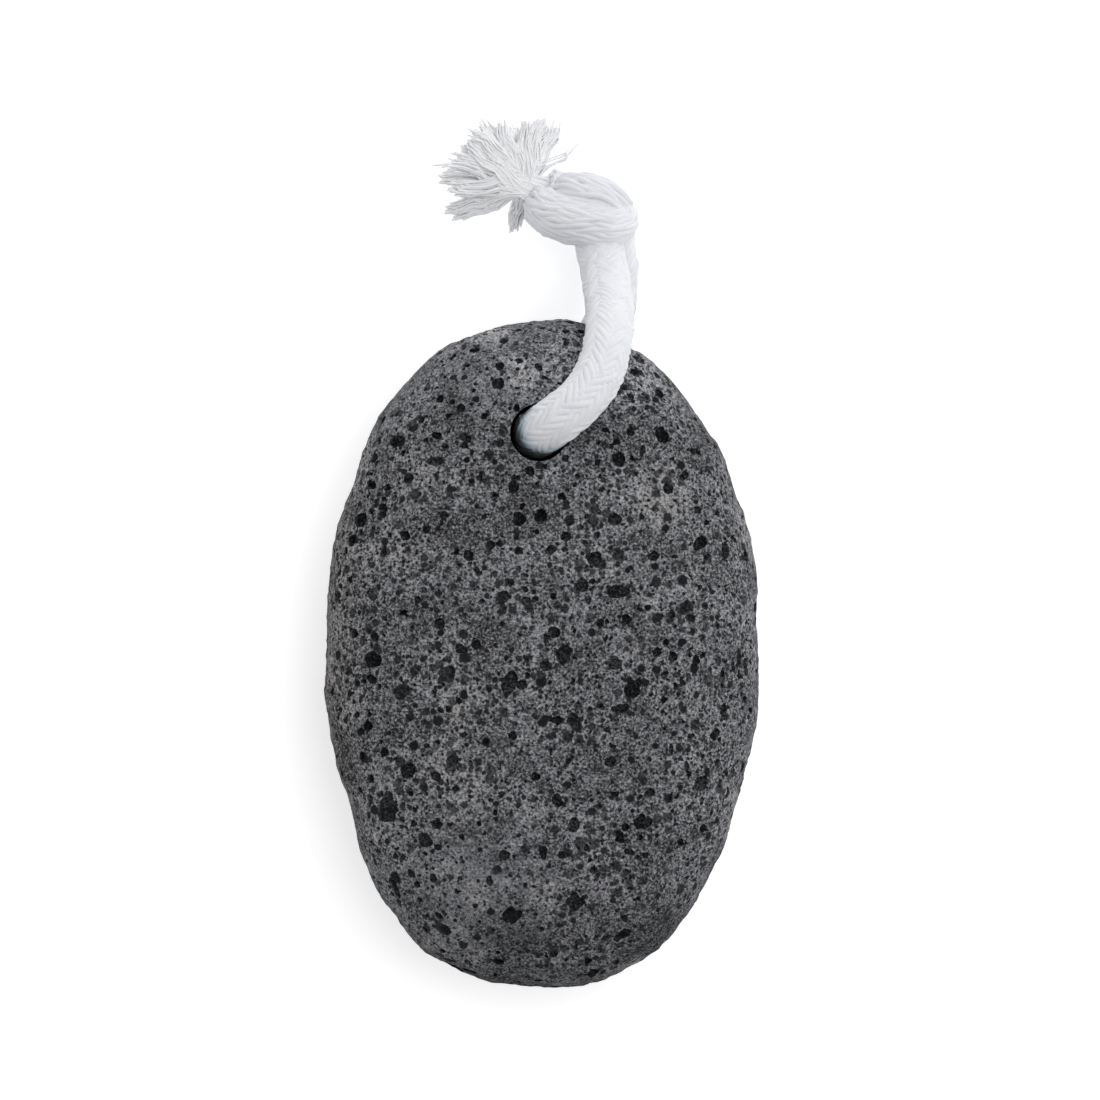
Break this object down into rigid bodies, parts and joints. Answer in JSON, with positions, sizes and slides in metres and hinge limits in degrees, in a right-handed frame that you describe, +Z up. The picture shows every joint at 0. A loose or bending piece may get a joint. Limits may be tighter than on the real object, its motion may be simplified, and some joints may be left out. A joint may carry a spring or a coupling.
{
  "type": "pumice stone",
  "caption": "Oval pitted lava pumice stone for smoothing skin, drilled near one end for a short loop of braided cotton cord that is knotted and frayed at its ends.",
  "frame": {"origin": "under the middle of the stone, on the surface that its flat underside rests on", "axes": "+Z up out of the shown face, +Y along the stone's length towards its drilled end, +X across its width"},
  "size_m": [0.0651, 0.1312, 0.0376],
  "materials": {
    "lava": "rough matt foamed lava with open gas pits",
    "cotton": "white braided cotton, matt and slightly fuzzy"
  },
  "bodies": {
    "root": {"stone": "lava", "cord": "cotton", "knot": "cotton", "frayed_ends": "cotton"}
  },
  "joints": []
}
